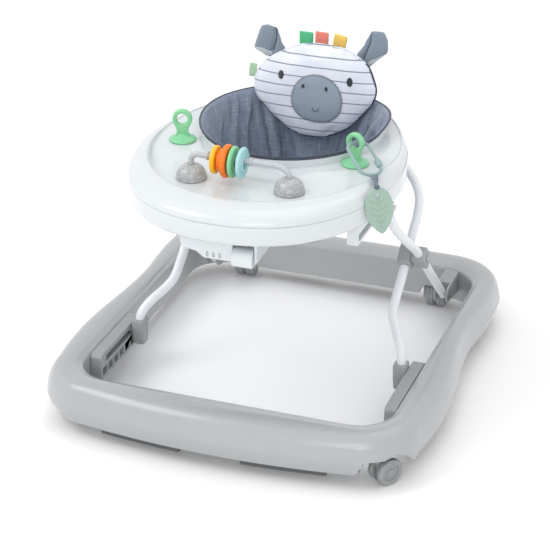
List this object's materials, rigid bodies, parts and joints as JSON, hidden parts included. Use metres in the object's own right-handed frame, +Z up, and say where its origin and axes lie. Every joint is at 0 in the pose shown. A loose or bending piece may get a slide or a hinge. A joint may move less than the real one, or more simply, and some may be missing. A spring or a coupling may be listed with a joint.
{
  "type": "baby walker",
  "caption": "Folding baby walker with a wide base ring on castors, crossed tube legs, and a padded seat in a toy tray.",
  "frame": {"origin": "on the floor, under the middle of the base ring's width and length", "axes": "+X to the walker's own right side as drawn in plan, across its width; -Y is the front, towards the toy bar; +Z is up"},
  "size_m": [0.6376, 0.702, 0.5436],
  "materials": {
    "shell_grey": "smooth semi-gloss moulded",
    "trim_grey": "fine satin moulded",
    "grip_rubber": "matt",
    "steel": "satin",
    "wheel_grey": "satin moulded",
    "white_tube": "gloss enamel",
    "dark_nylon": "matt",
    "white_shell": "gloss moulded",
    "chambray": "woven chambray",
    "face_cloth": "printed jersey",
    "ear_cloth": "soft plush",
    "speckled_grey": "speckled satin",
    "yellow": "gloss",
    "orange": "gloss",
    "mint": "soft gloss",
    "sky": "soft gloss",
    "link_green": "satin",
    "sage": "soft matt teether"
  },
  "bodies": {
    "base": {"base_shell": "shell_grey", "slide_rail_right": "trim_grey", "slide_rail_left": "trim_grey", "pivot_bracket_right": "trim_grey", "pivot_bracket_left": "trim_grey", "rear_pivot_pin_right": "steel", "rear_pivot_pin_left": "steel", "grip_pad_front_right": "grip_rubber", "grip_pad_front_left": "grip_rubber", "grip_pad_side_right": "grip_rubber", "grip_pad_side_left": "grip_rubber", "grip_pad_rear_right": "grip_rubber", "grip_pad_rear_left": "grip_rubber", "caster_socket_right": "trim_grey", "caster_socket_left": "trim_grey", "rear_wheel_housing_right": "trim_grey", "rear_wheel_housing_left": "trim_grey"},
    "outer_legs": {"outer_leg_right": "white_tube", "outer_leg_left": "white_tube", "tray_slide_pin_right": "white_shell", "tray_slide_pin_left": "white_shell", "cross_collar_outer_right": "trim_grey", "cross_collar_outer_left": "trim_grey", "cross_rivet_right": "steel", "cross_rivet_left": "steel"},
    "inner_legs": {"inner_leg_frame": "white_tube", "cross_collar_inner_right": "trim_grey", "cross_collar_inner_left": "trim_grey", "slide_foot_right": "trim_grey", "slide_foot_left": "trim_grey"},
    "tray": {"tray_deck": "white_shell", "tray_pan": "white_shell", "tray_channel_right": "white_shell", "tray_channel_left": "white_shell", "tray_saddle_right": "white_shell", "tray_saddle_left": "white_shell", "adjuster_housing": "white_shell", "seat_bucket": "chambray", "head_pad": "face_cloth", "ear_right": "ear_cloth", "ear_left": "ear_cloth", "toy_bar": "speckled_grey", "bar_dome_right": "speckled_grey", "bar_dome_left": "speckled_grey", "loop_post_right": "mint", "loop_post_left": "mint"},
    "lever": {"adjuster_lever": "white_shell"},
    "link": {"link_ring": "link_green"},
    "leaf": {"leaf": "sage", "leaf_strap": "dark_nylon"},
    "caster_right": {"caster_fork_right": "trim_grey"},
    "caster_wheels_right": {"caster_wheels_right": "wheel_grey"},
    "rear_wheel_right": {"rear_wheel_right": "wheel_grey"},
    "caster_left": {"caster_fork_left": "trim_grey"},
    "caster_wheels_left": {"caster_wheels_left": "wheel_grey"},
    "rear_wheel_left": {"rear_wheel_left": "wheel_grey"},
    "ring_yellow": {"ring_yellow": "yellow"},
    "ring_orange": {"ring_orange": "orange"},
    "ring_green": {"ring_green": "mint"},
    "ring_sky": {"ring_sky": "sky"}
  },
  "joints": [
    {"name": "fold", "type": "hinge", "parent": "base", "child": "outer_legs", "pos_m": [0, 0.224, 0.068], "axis": [1, 0, 0], "range_deg": [0, 32]},
    {"name": "cross_pivot", "type": "hinge", "parent": "outer_legs", "child": "inner_legs", "pos_m": [0, 0.073, 0.206], "axis": [1, 0, 0], "range_deg": [-64, 0]},
    {"name": "tray_pivot", "type": "hinge", "parent": "inner_legs", "child": "tray", "pos_m": [0, 0.195, 0.345], "axis": [1, 0, 0], "range_deg": [0, 32]},
    {"name": "caster_swivel_right", "type": "hinge", "parent": "base", "child": "caster_right", "pos_m": [0.259, -0.291, 0.06], "axis": [0, 0, 1], "continuous": true},
    {"name": "caster_roll_right", "type": "hinge", "parent": "caster_right", "child": "caster_wheels_right", "pos_m": [0.26474, -0.28281, 0.022], "axis": [0.8192, -0.5736, 0], "continuous": true},
    {"name": "rear_roll_right", "type": "hinge", "parent": "base", "child": "rear_wheel_right", "pos_m": [0.18, 0.31, 0.022], "axis": [1, 0, 0], "continuous": true},
    {"name": "caster_swivel_left", "type": "hinge", "parent": "base", "child": "caster_left", "pos_m": [-0.249, -0.275, 0.06], "axis": [0, 0, 1], "continuous": true},
    {"name": "caster_roll_left", "type": "hinge", "parent": "caster_left", "child": "caster_wheels_left", "pos_m": [-0.24326, -0.26681, 0.022], "axis": [0.8192, -0.5736, 0], "continuous": true},
    {"name": "rear_roll_left", "type": "hinge", "parent": "base", "child": "rear_wheel_left", "pos_m": [-0.18, 0.31, 0.022], "axis": [1, 0, 0], "continuous": true},
    {"name": "ring_spin_yellow", "type": "hinge", "parent": "tray", "child": "ring_yellow", "pos_m": [0, -0.18, 0.444], "axis": [1, 0, 0], "continuous": true},
    {"name": "ring_spin_orange", "type": "hinge", "parent": "tray", "child": "ring_orange", "pos_m": [0, -0.18, 0.444], "axis": [1, 0, 0], "continuous": true},
    {"name": "ring_spin_green", "type": "hinge", "parent": "tray", "child": "ring_green", "pos_m": [0, -0.18, 0.444], "axis": [1, 0, 0], "continuous": true},
    {"name": "ring_spin_sky", "type": "hinge", "parent": "tray", "child": "ring_sky", "pos_m": [0, -0.18, 0.444], "axis": [1, 0, 0], "continuous": true},
    {"name": "lever_squeeze", "type": "hinge", "parent": "tray", "child": "lever", "pos_m": [0.041, -0.248, 0.354], "axis": [1, 0, 0], "range_deg": [-6, 0], "stiffness_Nm_per_rad": 0.5},
    {"name": "link_swing", "type": "hinge", "parent": "tray", "child": "link", "pos_m": [0.138, -0.06, 0.4505], "axis": [-0.783, -0.622, 0], "range_deg": [0, 30]},
    {"name": "leaf_swing", "type": "hinge", "parent": "link", "child": "leaf", "pos_m": [0.1887, -0.12388, 0.42836], "axis": [-0.8859, -0.4639, 0], "range_deg": [0, 20]}
  ],
  "couplings": [
    {"joint": "cross_pivot", "follows": "fold", "ratio": -2},
    {"joint": "tray_pivot", "follows": "fold", "ratio": 1}
  ]
}
